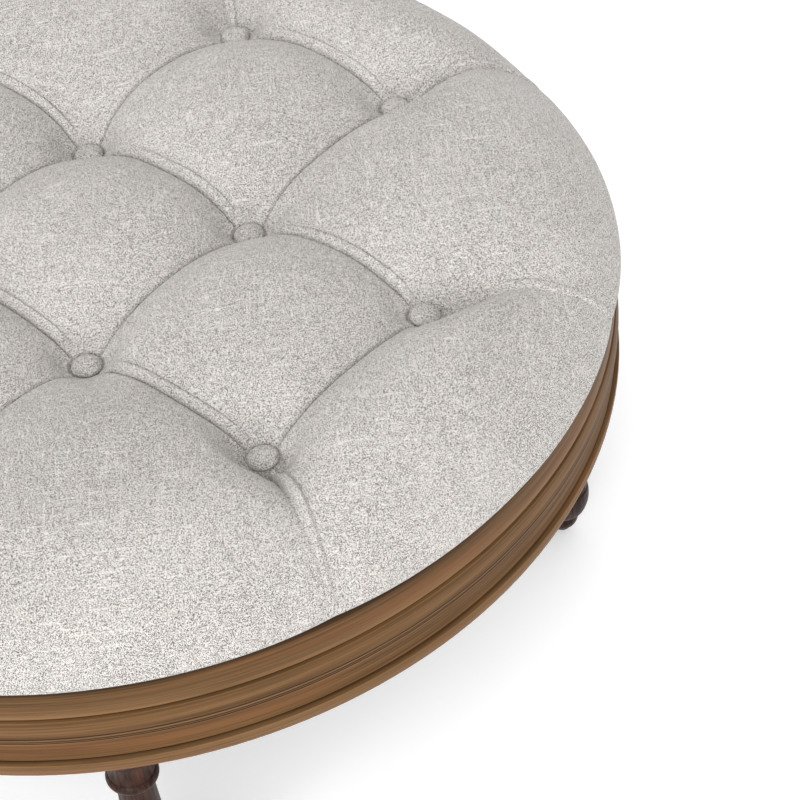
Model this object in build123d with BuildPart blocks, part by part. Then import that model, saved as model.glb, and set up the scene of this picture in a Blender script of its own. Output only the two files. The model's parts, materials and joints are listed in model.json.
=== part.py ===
"""Round ottoman coffee table: a button-tufted cushion on a moulded apron and four turned legs.

Millimetres, +Z up. The origin is on the floor under the middle of the table.
The button grid runs along X and Y, and the legs stand on the diagonals.
"""
import os
from math import atan2, cos, degrees, hypot, pi, radians, sin, sqrt, tan

from build123d import *

os.makedirs("parts", exist_ok=True)

# Driving dimensions of the whole table
cushion_radius = 495
floor_to_apron = 303
apron_height = 114
leg_circle_radius = 428
legs = 4
overrun = 10
seat_gap = 0.3
slip_gap = 0.05

# Button grid: four rows of four without the corner ones
button_pitch = 215
button_radius = 14.5
button_height = 9
button_back_depth = 5
button_edge_height = 2.5
button_level = 47
inner_button_drop = 10
corner_drop = 5

# Tufted cushion, heights above the top of the apron
inner_seam_height = 62
seam_height = 67
crown_height = 94
side_petal_height = 91
side_shoulder_height = 82
corner_petal_height = 94
corner_shoulder_height = 84
pleat_height = 72
pleat_shoulder_height = 64
shoulder_width = 75
widest_height = 5
shoulder_bulge = 11
hem_inset = 5
hem_bulge = 1.2
pleat_draw_in = 3
channel_width = 3
core_height = 50
core_inset = 6
dimple_drop = 10
dimple_radius = 46
dimple_floor_radius = 10
well_mouth_radius = 24
well_mouth_height = 12
well_rim_gap = 0.6
leading_pleat_angle = 48
trailing_pleat_angle = 27.5
edge_round = 1.5

# Cover, foam and deck
cover_thickness = 2.5
cover_turn_under = 48
deck_radius = 480
deck_thickness = 18
loop_hole_radius = 4.8
twine_hole_radius = 3
twine_radius = 0.8
knot_radius = 4.5
washer_radius = 12.5
washer_thickness = 1.5
loop_wire_radius = 1
loop_radius = 3.2
loop_neck = 2

# Staples under the deck
staple_count = 24
staple_crown = 10
staple_wire = 0.9
staple_depth = 9
staple_inset = 13

# Apron: radii and heights of its moulded face, from its bottom edge
apron_wall = 22
face_radius = 489
band_bulge = 1.2
top_round = 3
first_groove_height = 73.5
first_groove_width = 3
first_groove_depth = 3.5
middle_band_radius = 491.5
bead_height = 46
bead_width = 3
quirk_width = 1.2
quirk_depth = 3.2
lower_band_radius = 488
lower_band_hollow = 1.2
last_groove_height = 18
last_groove_width = 3.5
last_groove_depth = 6
foot_bead_radius = 491.5
foot_bead_tuck = 3
dowel_radius = 4
dowel_length = 40
dowel_inset = 11
dowel_edge_distance = 32

# Cross rails
rail_width = 45
rail_height = 40
rail_housing = 8

# Leg blocks and their fasteners
block_height = 60
block_inner_radius = 392
block_nose_width = 76
block_wing_radius = 416
block_neck_width = 96
block_width = 150
block_screw_offset = 62
block_screw_length = 60
block_screw_margin = 15
bolt_radius = 4
bolt_length = 118
bolt_in_leg = 45
bolt_hole_gap = 0.3
bolt_washer_radius = 10
bolt_washer_thickness = 2
nut_across_flats = 13
nut_thickness = 6.5

# Wood screws
screw_radius = 2
screw_head_radius = 4
screw_head_height = 2.6
screw_head_rim = 0.4
screw_tip = 5
deck_screw_length = 52
deck_screw_places = (150, 390)
screw_sink = 1

# Turned leg: heights above the floor and radii
glide_thickness = 4
glide_radius = 9
glide_round = 1
nail_sink = 1
nail_radius = 1.25
nail_head_radius = 3.5
nail_head_height = 1.2
nail_length = 20
toe_flat_radius = 10
toe_height = 17
toe_radius = 17.5
neck_height = 25
neck_radius = 15.5
bulb_height = 50
bulb_radius = 30
bulb_corner_height = 32
bulb_corner_radius = 25.5
bulb_top_height = 60
bulb_top_radius = 29.3
incision_height = 62
incision_radius = 27.4
stem_foot_height = 64
stem_foot_radius = 28.7
stem_waist_height = 165
stem_waist_radius = 18.5
stem_top_height = 214
stem_top_radius = 17
collar_radius = 24
collar_round = 4
collar_top_height = 226
cove_rim_radius = 21
cove_height = 238
cove_radius = 18
cove_top_height = 252
vase_foot_radius = 23
vase_height = 270
vase_radius = 30
vase_top_height = 287
vase_top_radius = 25
cap_height = 291
cap_radius = 29
cap_round = 3

# Dust cover under the frame
dust_cover_thickness = 0.8
dust_cover_lap = 6
dust_staple_count = 40
dust_hole_gap = 4
dust_staple_crown = 6
dust_staple_depth = 6
dust_staple_inset = 3

# Levels and places worked out from the sizes above
apron_top = floor_to_apron + apron_height
grid_half = button_pitch / 2
grid_outer = grid_half * 3
outer_buttons = [
    (x, y)
    for x in (-grid_outer, -grid_half, grid_half, grid_outer)
    for y in (-grid_outer, -grid_half, grid_half, grid_outer)
    if hypot(x, y) < 2 * button_pitch and hypot(x, y) > button_pitch
]
inner_buttons = [(x, y) for x in (-grid_half, grid_half) for y in (-grid_half, grid_half)]
button_places = [(x, y, apron_top + button_level) for x, y in outer_buttons]
button_places += [(x, y, apron_top + button_level - inner_button_drop) for x, y in inner_buttons]
twine_points = outer_buttons + inner_buttons
outer_corner = button_level - corner_drop
inner_corner = outer_corner - inner_button_drop
deck_top = apron_top + deck_thickness
rebate_depth = cover_thickness + seat_gap
cover_opening_radius = cushion_radius - hem_inset - cover_turn_under
apron_inner_radius = face_radius - apron_wall
leg_angle = 180 / legs
leg_angles = [leg_angle + 360 / legs * number for number in range(legs)]


def export(piece, name):
    """Label a finished piece and write it to its own file."""
    piece.part.label = name
    export_step(piece.part, f"parts/{name}.step")


def upright(x, y, angle):
    """The vertical plane through a point, its own X running out level at an angle."""
    out = (cos(radians(angle)), sin(radians(angle)), 0)
    return Plane(origin=(x, y, apron_top), x_dir=out, z_dir=(out[1], -out[0], 0))


def rim_reach(apex, angle, radius):
    """How far the rim lies from an apex, along a ray at an angle to the X axis."""
    ahead = apex[0] * cos(radians(angle)) + apex[1] * sin(radians(angle))
    aside = apex[1] * cos(radians(angle)) - apex[0] * sin(radians(angle))
    return sqrt(radius**2 - aside**2) - ahead


def seam_arc(middle, edge, place):
    """Height at a place on a seam between two buttons, which falls from its middle to its edges."""
    return arc_height(middle, edge, grid_half, place)


def arc_height(middle, edge, half_width, place):
    """Height at a place on the arc that falls from its middle to its edges."""
    fall = middle - edge
    radius = (half_width**2 + fall**2) / (2 * fall)
    return middle - radius + sqrt(radius**2 - place**2)


def between(low, high, share):
    """The value that lies a share of the way from low to high."""
    return low + (high - low) * share


def bulged(start, end, bulge):
    """The middle point of an arc between two points, standing off their chord by the bulge."""
    run = end[0] - start[0]
    rise = end[1] - start[1]
    chord = hypot(run, rise)
    return (
        (start[0] + end[0]) / 2 + rise / chord * bulge,
        (start[1] + end[1]) / 2 - run / chord * bulge,
    )


# The tufted form. Each puff is a block lofted through arched sections and cut to its tile of the
# button grid. The tiles stand a channel apart on a core that dips at the buttons.


def grid_puff(inset, near_edge, far_edge, near_seam, seam):
    """One square puff between four buttons, with the corner and seam heights on its sides in X."""
    stations = (
        (-grid_half, near_edge - inset, near_seam - inset),
        (0, seam - inset, crown_height - inset),
        (grid_half, far_edge - inset, seam - inset),
    )
    with BuildPart() as puff:
        for place, edge, middle in stations:
            with BuildSketch(Plane.YZ.offset(place)):
                with BuildLine():
                    Polyline((-grid_half, edge), (-grid_half, inset), (grid_half, inset), (grid_half, edge))
                    ThreePointArc((grid_half, edge), (0, middle), (-grid_half, edge))
                make_face()
        loft()
        with BuildSketch():
            Rectangle(button_pitch, button_pitch)
            offset(amount=-channel_width / 2 - inset, kind=Kind.INTERSECTION)
        extrude(amount=crown_height + overrun, mode=Mode.INTERSECT)
    return puff.part.moved(Location((0, 0, apron_top)))


def petal_section(plane, rim, inner, inner_height, crown, shoulder, inset):
    """One upright section of an edge petal, from the inner seam over the shoulder to the hem."""
    edge = rim - inset
    inner_foot = (inner, inset)
    inner_end = (inner, inner_height - inset)
    hem = (edge - hem_inset, inset)
    waist = (edge, widest_height)
    shoulder_end = (edge - shoulder_width, shoulder - inset)
    top = (between(inner, edge - shoulder_width, 0.5), crown - inset)
    with BuildSketch(plane) as section:
        with BuildLine():
            Polyline(inner_end, inner_foot, hem)
            ThreePointArc(hem, bulged(hem, waist, hem_bulge), waist)
            ThreePointArc(waist, bulged(waist, shoulder_end, shoulder_bulge), shoulder_end)
            ThreePointArc(shoulder_end, top, inner_end)
        make_face()
    return section.sketch


def petal_at(apex, angle, inner, inner_height, share, crown, shoulder, inset):
    """The section of an edge petal on a ray from its apex, a share of the way out to a pleat."""
    fullness = 1 - share**2
    return petal_section(
        upright(*apex, angle),
        rim_reach(apex, angle, cushion_radius - pleat_draw_in * share**2),
        inner,
        inner_height,
        between(pleat_height, crown, fullness),
        between(pleat_shoulder_height, shoulder, fullness),
        inset,
    )


def side_petal(inset):
    """The edge puff outside two neighbouring outer buttons, on the +X side."""
    leading_slope = tan(radians(leading_pleat_angle))
    trailing_slope = tan(radians(trailing_pleat_angle))
    depth = button_pitch / (leading_slope + trailing_slope)
    apex = (grid_outer - depth, grid_half - depth * leading_slope)
    sections = []
    for share in (-1, -0.5, 0, 0.5, 1):
        angle = between(-trailing_pleat_angle, leading_pleat_angle, (share + 1) / 2)
        height = seam_arc(seam_height, outer_corner, apex[1] + depth * tan(radians(angle)))
        inner = depth / cos(radians(angle))
        sections.append(
            petal_at(apex, angle, inner, height, share, side_petal_height, side_shoulder_height, inset)
        )
    reach = cushion_radius
    with BuildPart() as petal:
        loft(sections)
        with BuildSketch(Plane.XY.offset(apron_top)):
            with BuildLine():
                Polyline(
                    (grid_outer, -grid_half),
                    (grid_outer + reach, -grid_half - reach * trailing_slope),
                    (grid_outer + reach, grid_half + reach * leading_slope),
                    (grid_outer, grid_half),
                    close=True,
                )
            make_face()
            offset(amount=-channel_width / 2 - inset, kind=Kind.INTERSECTION)
        extrude(amount=crown_height + overrun, mode=Mode.INTERSECT)
    return petal.part


def corner_petal(inset):
    """The large edge puff outside one inner button, between +X and +Y."""
    lower_slope = tan(radians(leading_pleat_angle))
    upper_slope = tan(radians(90 - trailing_pleat_angle))
    across = button_pitch + lower_slope * grid_outer - upper_slope * grid_half
    apex_x = across / (lower_slope - upper_slope)
    apex = (apex_x, grid_half + lower_slope * (apex_x - grid_outer))
    to_corner = (grid_half - apex[0], grid_half - apex[1])
    middle = degrees(atan2(to_corner[1], to_corner[0]))
    lower_sections = []
    upper_sections = []
    for share in (0, 0.5, 1):
        corner = inner_corner if share == 0 else outer_corner
        angle = between(middle, leading_pleat_angle, share)
        inner = to_corner[1] / sin(radians(angle))
        height = seam_arc(seam_height, corner, apex[0] + inner * cos(radians(angle)) - button_pitch)
        lower_sections.append(
            petal_at(apex, angle, inner, height, share, corner_petal_height, corner_shoulder_height, inset)
        )
        angle = between(middle, 90 - trailing_pleat_angle, share)
        inner = to_corner[0] / cos(radians(angle))
        height = seam_arc(seam_height, corner, apex[1] + inner * sin(radians(angle)) - button_pitch)
        upper_sections.append(
            petal_at(apex, angle, inner, height, share, corner_petal_height, corner_shoulder_height, inset)
        )
    reach = cushion_radius
    with BuildPart() as petal:
        loft(lower_sections)
        loft(upper_sections)
        with BuildSketch(Plane.XY.offset(apron_top)):
            with BuildLine():
                Polyline(
                    (grid_half, grid_half),
                    (grid_outer, grid_half),
                    (grid_outer + reach, grid_half + reach * lower_slope),
                    (grid_half + reach / upper_slope, grid_outer + reach),
                    (grid_half, grid_outer),
                    close=True,
                )
            make_face()
            offset(amount=-channel_width / 2 - inset, kind=Kind.INTERSECTION)
        extrude(amount=crown_height + overrun, mode=Mode.INTERSECT)
    return petal.part


def button_well(inset):
    """The space that a button sits in, round the origin at the button's own level."""
    wall = button_radius + well_rim_gap + inset
    floor = -button_back_depth - slip_gap - inset
    with BuildPart() as well:
        with BuildSketch(Plane.XZ):
            with BuildLine():
                Polyline(
                    (0, crown_height),
                    (0, floor),
                    (wall, floor),
                    (wall, button_edge_height - inset),
                    (well_mouth_radius + inset, well_mouth_height - inset),
                    (well_mouth_radius + inset, crown_height),
                    close=True,
                )
            make_face()
        revolve(axis=Axis.Z)
    return well.part


def tufted_form(inset):
    """The whole tufted body, or the like body that lies inset under its skin."""
    centre_puff = grid_puff(inset, inner_corner, inner_corner, inner_seam_height, inner_seam_height)
    side_puff = grid_puff(inset, inner_corner, outer_corner, inner_seam_height, seam_height)
    side = side_petal(inset)
    corner = corner_petal(inset)
    well = button_well(inset)
    edge = cushion_radius - core_inset - inset
    top = core_height - inset
    with BuildPart() as form:
        with BuildSketch(upright(0, 0, 0)):
            with BuildLine():
                hem = (edge - hem_inset, inset)
                waist = (edge, widest_height)
                shoulder = (edge - shoulder_width, top)
                Polyline(shoulder, (0, top), (0, inset), hem)
                ThreePointArc(hem, bulged(hem, waist, hem_bulge), waist)
                ThreePointArc(waist, bulged(waist, shoulder, shoulder_bulge), shoulder)
            make_face()
        revolve(axis=Axis.Z)
        for x, y, level in button_places:
            dimple_floor = level - dimple_drop - inset
            depth = apron_top + top - dimple_floor
            with Locations((x, y, dimple_floor + depth / 2)):
                Cone(dimple_floor_radius + inset, dimple_radius + inset, depth, mode=Mode.SUBTRACT)
        add(centre_puff)
        with PolarLocations(button_pitch, 4):
            add(side_puff)
        with PolarLocations(0, 4):
            add(side)
            add(corner)
        with Locations(*button_places):
            add(well, mode=Mode.SUBTRACT)
    return form.part


# The soft parts: cover, foam and the wadding round the deck's edge

skin = tufted_form(0)
lining = tufted_form(cover_thickness)
filling = tufted_form(cover_thickness + seat_gap)
well_floors = [(x, y, level - button_back_depth) for x, y, level in button_places]
down = (Align.CENTER, Align.CENTER, Align.MAX)
up = (Align.CENTER, Align.CENTER, Align.MIN)

with BuildPart() as cover_staples:
    with PolarLocations(cover_opening_radius + staple_inset, staple_count, 180 / staple_count):
        with Locations((0, 0, apron_top)):
            Box(staple_wire, staple_crown, staple_wire, align=down)
        for side in (-1, 1):
            with Locations((0, side * (staple_crown - staple_wire) / 2, apron_top)):
                Box(staple_wire, staple_wire, staple_depth, align=up)
export(cover_staples, "cover_staples")

with BuildPart() as cushion_cover:
    add(skin)
    add(lining, mode=Mode.SUBTRACT)
    with Locations((0, 0, apron_top)):
        Cylinder(cover_opening_radius, rebate_depth, align=up, mode=Mode.SUBTRACT)
    with Locations(*well_floors):
        Cylinder(loop_hole_radius, 2 * (dimple_drop + 2 * cover_thickness), mode=Mode.SUBTRACT)
    add(cover_staples.part, mode=Mode.SUBTRACT)
export(cushion_cover, "cushion_cover")

with BuildPart() as foam_pad:
    add(filling)
    split(bisect_by=Plane.XY.offset(deck_top), keep=Keep.TOP)
    with Locations(*well_floors):
        Cylinder(loop_hole_radius, button_level, align=down, mode=Mode.SUBTRACT)
export(foam_pad, "foam_pad")

with BuildPart() as edge_wadding:
    add(filling)
    split(bisect_by=Plane.XY.offset(deck_top), keep=Keep.BOTTOM)
    with Locations((0, 0, apron_top)):
        Cylinder(deck_radius + seat_gap, deck_thickness, align=up, mode=Mode.SUBTRACT)
export(edge_wadding, "edge_wadding")


# Buttons, their wire loops and the twine that draws them down

with BuildPart() as covered_button:
    with BuildSketch(Plane.XZ):
        dome = button_height - button_back_depth
        with BuildLine():
            back = -button_back_depth
            Polyline((0, dome), (0, back), (button_radius, back), (button_radius, 0))
            shoulder_place = button_radius / 2
            middle = (shoulder_place, arc_height(dome, 0, button_radius, shoulder_place))
            ThreePointArc((button_radius, 0), middle, (0, dome))
        make_face()
    revolve(axis=Axis.Z)
    fillet(covered_button.edges().filter_by(GeomType.CIRCLE), edge_round)

for number, place in enumerate(button_places, start=1):
    with BuildPart() as button:
        with Locations(place):
            add(covered_button.part)
    export(button, f"button_{number:02d}")

with BuildPart() as wire_loop:
    loop_bottom = -button_back_depth - loop_neck - loop_radius
    with BuildLine(Plane.XZ) as loop_path:
        bend_start = (-loop_radius, loop_bottom + loop_radius)
        bend_end = (loop_radius, loop_bottom + loop_radius)
        Line((-loop_radius, -button_back_depth), bend_start)
        ThreePointArc(bend_start, (0, loop_bottom), bend_end)
        Line(bend_end, (loop_radius, -button_back_depth))
    with BuildSketch(Plane.XY.offset(-button_back_depth)):
        with Locations((-loop_radius, 0)):
            Circle(loop_wire_radius)
    sweep(path=loop_path.wire())

with BuildPart() as button_loops:
    with Locations(*button_places):
        add(wire_loop.part)
export(button_loops, "button_loops")


def twine(level):
    """A doubled twine from the loop of a button at this level to its knot under the washer."""
    turn = loop_wire_radius + twine_radius + slip_gap
    turn_height = level + loop_bottom
    knot_height = apron_top - washer_thickness - slip_gap - sqrt(knot_radius**2 - twine_hole_radius**2)
    with BuildPart() as strand:
        with BuildLine(Plane.YZ) as path:
            Line((-turn, knot_height), (-turn, turn_height))
            ThreePointArc((-turn, turn_height), (0, turn_height + turn), (turn, turn_height))
            Line((turn, turn_height), (turn, knot_height))
        with BuildSketch(Plane.XY.offset(knot_height)):
            with Locations((0, -turn)):
                Circle(twine_radius)
        sweep(path=path.wire())
        with Locations((0, 0, knot_height)):
            Sphere(knot_radius)
    return strand.part


with BuildPart() as tufting_twines:
    for x, y, level in button_places:
        with Locations((x, y)):
            add(twine(level))
export(tufting_twines, "tufting_twines")

with BuildPart() as twine_washers:
    with Locations(*[(x, y, apron_top) for x, y in twine_points]):
        Cylinder(washer_radius, washer_thickness, align=down)
        Cylinder(twine_hole_radius, washer_thickness, align=down, mode=Mode.SUBTRACT)
export(twine_washers, "twine_washers")


# Screws, bolts and dowels come before the wood that they pass through


def screw_profile(length, gap, rise):
    """Points down a countersunk screw, or down its hole with a gap all round and a rise over it."""
    return (
        (0, rise),
        (screw_head_radius + gap, rise),
        (screw_head_radius + gap, -screw_head_rim - gap),
        (screw_radius + gap, -screw_head_height - gap),
        (screw_radius + gap, screw_tip - length),
        (0, -length - gap),
    )


def turned(profile, places):
    """Copies at a list of locations of the body that a profile turns round its own Z axis."""
    with BuildPart() as body:
        with BuildSketch(Plane.XZ):
            with BuildLine():
                Polyline(*profile, close=True)
            make_face()
        revolve(axis=Axis.Z)
    with BuildPart() as copies:
        with Locations(*places):
            add(body.part)
    return copies


rail_bottom = apron_top - rail_height
deck_screw_spots = [
    Location((0, 0, rail_bottom + screw_sink), (0, 0, turn)) * Location((reach, 0, 0), (180, 0, 0))
    for reach in deck_screw_places
    for turn in (0, 90, 180, 270)
]
deck_screws = turned(screw_profile(deck_screw_length, 0, 0), deck_screw_spots)
deck_screw_holes = turned(screw_profile(deck_screw_length, slip_gap, 2 * screw_sink), deck_screw_spots)
export(deck_screws, "deck_screws")

block_screw_spots = [
    Location((0, 0, floor_to_apron), (0, 0, angle))
    * Location((block_wing_radius + screw_sink, side * block_screw_offset, height), (0, -90, 0))
    for angle in leg_angles
    for side in (-1, 1)
    for height in (block_screw_margin, block_height - block_screw_margin)
]
block_screws = turned(screw_profile(block_screw_length, 0, 0), block_screw_spots)
block_screw_holes = turned(screw_profile(block_screw_length, slip_gap, 2 * screw_sink), block_screw_spots)
export(block_screws, "block_screws")

dowel_places = [
    Location((0, 0, 0), (0, 0, angle))
    * Location((apron_inner_radius + dowel_inset, 0, floor_to_apron + height), (90, 0, 0))
    for angle in leg_angles
    for height in (dowel_edge_distance, apron_height - dowel_edge_distance)
]
with BuildPart() as apron_dowels:
    with Locations(*dowel_places):
        Cylinder(dowel_radius, dowel_length)
export(apron_dowels, "apron_dowels")
with BuildPart() as dowel_holes:
    with Locations(*dowel_places):
        Cylinder(dowel_radius + slip_gap, dowel_length + 2 * seat_gap)

leg_centres = [
    (leg_circle_radius * cos(radians(angle)), leg_circle_radius * sin(radians(angle)))
    for angle in leg_angles
]
bolt_bottom = floor_to_apron - bolt_in_leg
block_top = floor_to_apron + block_height
nut_bottom = block_top + bolt_washer_thickness

with BuildPart() as hanger_bolts:
    with Locations(*[(x, y, bolt_bottom) for x, y in leg_centres]):
        Cylinder(bolt_radius, bolt_length, align=up)
export(hanger_bolts, "hanger_bolts")

with BuildPart() as bolt_washers:
    with Locations(*[(x, y, block_top) for x, y in leg_centres]):
        Cylinder(bolt_washer_radius, bolt_washer_thickness, align=up)
        Cylinder(bolt_radius + bolt_hole_gap, bolt_washer_thickness, align=up, mode=Mode.SUBTRACT)
export(bolt_washers, "bolt_washers")

with BuildPart() as bolt_nuts:
    with BuildSketch(Plane.XY.offset(nut_bottom)):
        with Locations(*leg_centres):
            RegularPolygon(nut_across_flats / 2, 6, major_radius=False)
            Circle(bolt_radius + slip_gap, mode=Mode.SUBTRACT)
    extrude(amount=nut_thickness)
export(bolt_nuts, "bolt_nuts")


# The round deck under the cushion

with BuildPart() as deck:
    with Locations((0, 0, apron_top)):
        Cylinder(deck_radius, deck_thickness, align=up)
        Cylinder(deck_radius + overrun, rebate_depth, align=up, mode=Mode.SUBTRACT)
        Cylinder(cover_opening_radius, rebate_depth, align=up)
    with Locations(*[(x, y, apron_top) for x, y in twine_points]):
        Cylinder(twine_hole_radius, deck_thickness, align=up, mode=Mode.SUBTRACT)
    add(deck_screw_holes.part, mode=Mode.SUBTRACT)
    add(cover_staples.part, mode=Mode.SUBTRACT)
export(deck, "deck")


# The two cross rails, halved into each other and housed in the apron

rail_reach = apron_inner_radius + rail_housing
rail_length = 2 * (rail_reach - seat_gap)
rails = {"cross_rail_lower": (0, 1), "cross_rail_upper": (90, -1)}
for name, (turn, side) in rails.items():
    with BuildPart() as rail:
        with Locations(Location((0, 0, rail_bottom), (0, 0, turn))):
            Box(rail_length, rail_width, rail_height, align=up)
        with Locations((0, 0, apron_top - rail_height / 2)):
            notch = rail_width + 2 * slip_gap
            halving = up if side > 0 else down
            Box(notch, notch, rail_height, align=halving, mode=Mode.SUBTRACT)
        add(deck_screw_holes.part, mode=Mode.SUBTRACT)
    export(rail, name)


# Dust cover, stapled up under the frame

with BuildPart() as dust_staples:
    crown_top = floor_to_apron - dust_cover_thickness
    with PolarLocations(apron_inner_radius + dust_staple_inset, dust_staple_count, 180 / dust_staple_count):
        with Locations((0, 0, crown_top)):
            Box(staple_wire, dust_staple_crown, staple_wire, align=down)
        for side in (-1, 1):
            with Locations((0, side * (dust_staple_crown - staple_wire) / 2, crown_top)):
                Box(staple_wire, staple_wire, dust_staple_depth, align=up)
export(dust_staples, "dust_staples")

with BuildPart() as dust_cover:
    with Locations((0, 0, floor_to_apron)):
        Cylinder(apron_inner_radius + dust_cover_lap, dust_cover_thickness, align=down)
    with Locations(*[(x, y, floor_to_apron) for x, y in leg_centres]):
        Cylinder(cap_radius + dust_hole_gap, dust_cover_thickness, align=down, mode=Mode.SUBTRACT)
    add(dust_staples.part, mode=Mode.SUBTRACT)
export(dust_cover, "dust_cover")


# The moulded apron: four segments that meet over the legs, housed for the rail ends

with BuildPart() as rail_housings:
    with Locations(Location((0, 0, rail_bottom)), Location((0, 0, rail_bottom), (0, 0, 90))):
        Box(2 * rail_reach, rail_width + 2 * slip_gap, rail_height + overrun, align=up)

with BuildPart() as apron_sector:
    with BuildSketch(Plane(origin=(0, 0, floor_to_apron), x_dir=(1, 0, 0), z_dir=(0, -1, 0))):
        with BuildLine():
            foot = (foot_bead_radius - foot_bead_tuck, 0)
            foot_top = (foot_bead_radius, last_groove_height - last_groove_width / 2)
            ThreePointArc(foot, bulged(foot, foot_top, band_bulge), foot_top)
            lower_bottom = (lower_band_radius, last_groove_height + last_groove_width / 2)
            Polyline(foot_top, (foot_bead_radius - last_groove_depth, last_groove_height), lower_bottom)
            bead_low = bead_height - bead_width / 2
            lower_top = (lower_band_radius, bead_low - quirk_width)
            ThreePointArc(lower_bottom, bulged(lower_bottom, lower_top, -lower_band_hollow), lower_top)
            bead_high = bead_height + bead_width / 2
            bead_back = middle_band_radius - quirk_depth
            Polyline(lower_top, (bead_back - quirk_width, bead_low), (bead_back, bead_low))
            bead_ends = ((bead_back, bead_low), (bead_back, bead_high))
            ThreePointArc(bead_ends[0], bulged(*bead_ends, bead_width / 2), bead_ends[1])
            middle_bottom = (middle_band_radius, bead_high + quirk_width)
            middle_top = (middle_band_radius - band_bulge, first_groove_height - first_groove_width / 2)
            Polyline(bead_ends[1], (bead_back - quirk_width, bead_high), middle_bottom)
            ThreePointArc(middle_bottom, bulged(middle_bottom, middle_top, band_bulge), middle_top)
            upper_bottom = (face_radius, first_groove_height + first_groove_width / 2)
            Polyline(middle_top, (face_radius - first_groove_depth, first_groove_height), upper_bottom)
            upper_top = (face_radius, apron_height - top_round)
            ThreePointArc(upper_bottom, bulged(upper_bottom, upper_top, band_bulge), upper_top)
            rounded = (face_radius - top_round, apron_height)
            ThreePointArc(upper_top, bulged(upper_top, rounded, top_round * (1 - sin(pi / 4))), rounded)
            Polyline(rounded, (apron_inner_radius, apron_height), (apron_inner_radius, 0), foot)
        make_face()
    revolve(axis=Axis.Z, revolution_arc=360 / legs)

for number, angle in enumerate(leg_angles, start=1):
    with BuildPart() as segment:
        with Locations(Location((0, 0, 0), (0, 0, angle))):
            add(apron_sector.part)
        add(rail_housings.part, mode=Mode.SUBTRACT)
        add(dowel_holes.part, mode=Mode.SUBTRACT)
        add(block_screw_holes.part, mode=Mode.SUBTRACT)
        add(dust_staples.part, mode=Mode.SUBTRACT)
    export(segment, f"apron_{number}")


# The blocks inside the apron that the legs hang on

with BuildPart() as corner_block:
    with BuildSketch(Plane.XY.offset(floor_to_apron)):
        with BuildLine():
            Polyline(
                (block_inner_radius, -block_nose_width / 2),
                (block_wing_radius, -block_neck_width / 2),
                (block_wing_radius, -block_width / 2),
                (apron_inner_radius, -block_width / 2),
                (apron_inner_radius, block_width / 2),
                (block_wing_radius, block_width / 2),
                (block_wing_radius, block_neck_width / 2),
                (block_inner_radius, block_nose_width / 2),
                close=True,
            )
        make_face()
        Circle(apron_inner_radius - slip_gap, mode=Mode.INTERSECT)
        with Locations((leg_circle_radius, 0)):
            Circle(bolt_radius + bolt_hole_gap, mode=Mode.SUBTRACT)
    extrude(amount=block_height)

for number, angle in enumerate(leg_angles, start=1):
    with BuildPart() as leg_block:
        with Locations(Location((0, 0, 0), (0, 0, angle))):
            add(corner_block.part)
        add(block_screw_holes.part, mode=Mode.SUBTRACT)
    export(leg_block, f"leg_block_{number}")


# Turned legs with their glides and glide nails

with BuildPart() as glide_nail:
    with Locations((0, 0, nail_sink)):
        Cylinder(nail_head_radius, nail_head_height, align=up)
        Cylinder(nail_radius, nail_length, align=up)

with BuildPart() as nail_hole:
    Cylinder(nail_head_radius + slip_gap, nail_sink + nail_head_height + slip_gap, align=up)
    Cylinder(nail_radius + slip_gap, nail_sink + nail_length + seat_gap, align=up)

with BuildPart() as glide:
    Cylinder(glide_radius, glide_thickness, align=up)
    fillet(glide.faces().sort_by(Axis.Z).first.edges(), glide_round)
    add(nail_hole.part, mode=Mode.SUBTRACT)

with BuildPart() as turned_leg:
    with BuildSketch(Plane.XZ):
        with BuildLine():
            toe_flat = (toe_flat_radius, glide_thickness)
            neck = (neck_radius, neck_height)
            bulb_corner = (bulb_corner_radius, bulb_corner_height)
            bulb_top = (bulb_top_radius, bulb_top_height)
            stem_foot = (stem_foot_radius, stem_foot_height)
            stem_top = (stem_top_radius, stem_top_height)
            Polyline((0, floor_to_apron), (0, glide_thickness), toe_flat)
            ThreePointArc(toe_flat, (toe_radius, toe_height), neck)
            Line(neck, bulb_corner)
            ThreePointArc(bulb_corner, (bulb_radius, bulb_height), bulb_top)
            Polyline(bulb_top, (incision_radius, incision_height), stem_foot)
            ThreePointArc(stem_foot, (stem_waist_radius, stem_waist_height), stem_top)
            collar_low = (collar_radius - collar_round, stem_top_height)
            collar_high = (collar_radius - collar_round, collar_top_height)
            collar_middle = (collar_radius, between(stem_top_height, collar_top_height, 0.5))
            Line(stem_top, collar_low)
            ThreePointArc(collar_low, collar_middle, collar_high)
            vase_foot = (vase_foot_radius, cove_top_height)
            Line(collar_high, (cove_rim_radius, collar_top_height))
            ThreePointArc((cove_rim_radius, collar_top_height), (cove_radius, cove_height), vase_foot)
            vase_top = (vase_top_radius, vase_top_height)
            ThreePointArc(vase_foot, (vase_radius, vase_height), vase_top)
            cap_low = (cap_radius - cap_round, cap_height)
            cap_high = (cap_radius - cap_round, floor_to_apron)
            Polyline(vase_top, (vase_top_radius, cap_height), cap_low)
            ThreePointArc(cap_low, (cap_radius, between(cap_height, floor_to_apron, 0.5)), cap_high)
            Line(cap_high, (0, floor_to_apron))
        make_face()
    revolve(axis=Axis.Z)
    add(nail_hole.part, mode=Mode.SUBTRACT)
    with Locations((0, 0, floor_to_apron)):
        Cylinder(bolt_radius + slip_gap, bolt_in_leg + seat_gap, align=down, mode=Mode.SUBTRACT)

for number, (x, y) in enumerate(leg_centres, start=1):
    with BuildPart() as leg:
        with Locations((x, y)):
            add(turned_leg.part)
    export(leg, f"leg_{number}")
    with BuildPart() as leg_glide:
        with Locations((x, y)):
            add(glide.part)
    export(leg_glide, f"glide_{number}")

with BuildPart() as glide_nails:
    with Locations(*leg_centres):
        add(glide_nail.part)
export(glide_nails, "glide_nails")
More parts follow.
